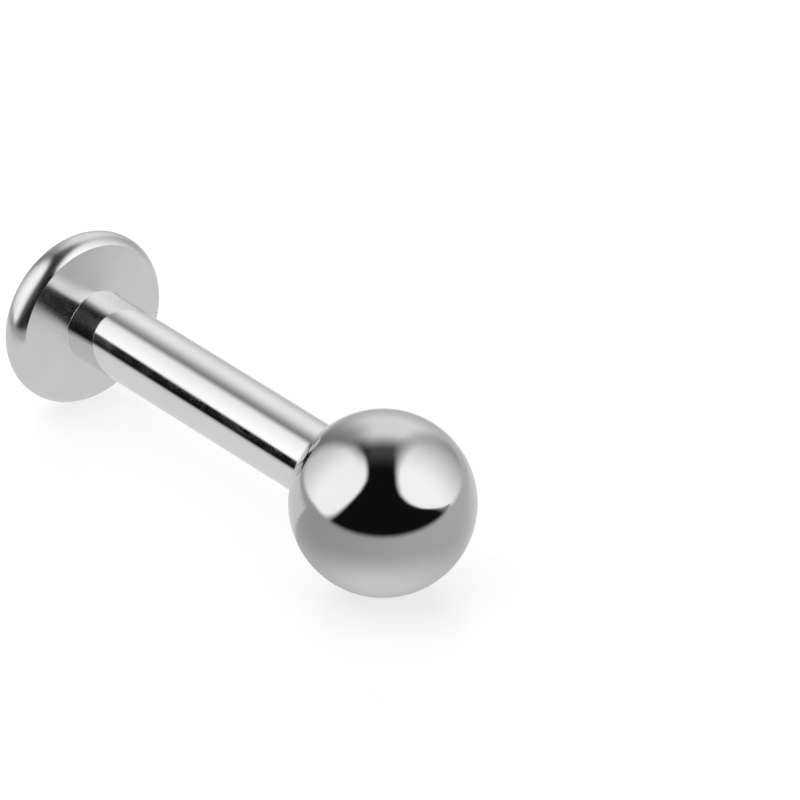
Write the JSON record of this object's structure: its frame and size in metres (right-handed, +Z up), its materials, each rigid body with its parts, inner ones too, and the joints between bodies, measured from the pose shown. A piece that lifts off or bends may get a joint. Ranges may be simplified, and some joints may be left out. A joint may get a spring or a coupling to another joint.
{
  "type": "labret stud",
  "caption": "Polished steel labret stud: flat-backed round disc on a straight post, with a ball that screws into the post on a fine threaded pin.",
  "frame": {"origin": "on the resting surface, under the middle of the stud's length", "axes": "+X along the post from the disc to the ball, +Z up from the resting surface"},
  "size_m": [0.013, 0.004, 0.004],
  "materials": {
    "steel": "mirror polished surgical steel with fine handling scratches",
    "thread_steel": "bright turned steel, dark in the thread",
    "bond": "dark glossy bonding compound"
  },
  "bodies": {
    "post": {"disc_post": "steel"},
    "bond": {"bond_ring": "bond"},
    "ball": {"ball": "steel", "threaded_pin": "thread_steel"}
  },
  "joints": [
    {"name": "ball_travel", "type": "slide", "parent": "post", "child": "bond", "axis": [1, 0, 0], "range_m": [0, 0.0015]},
    {"name": "ball_turn", "type": "hinge", "parent": "bond", "child": "ball", "pos_m": [0.00446, 0, 0.002], "axis": [1, 0, 0], "range_deg": [0, 2160]}
  ],
  "couplings": [
    {"joint": "ball_turn", "follows": "ball_travel", "rad_per_m": 25133}
  ]
}
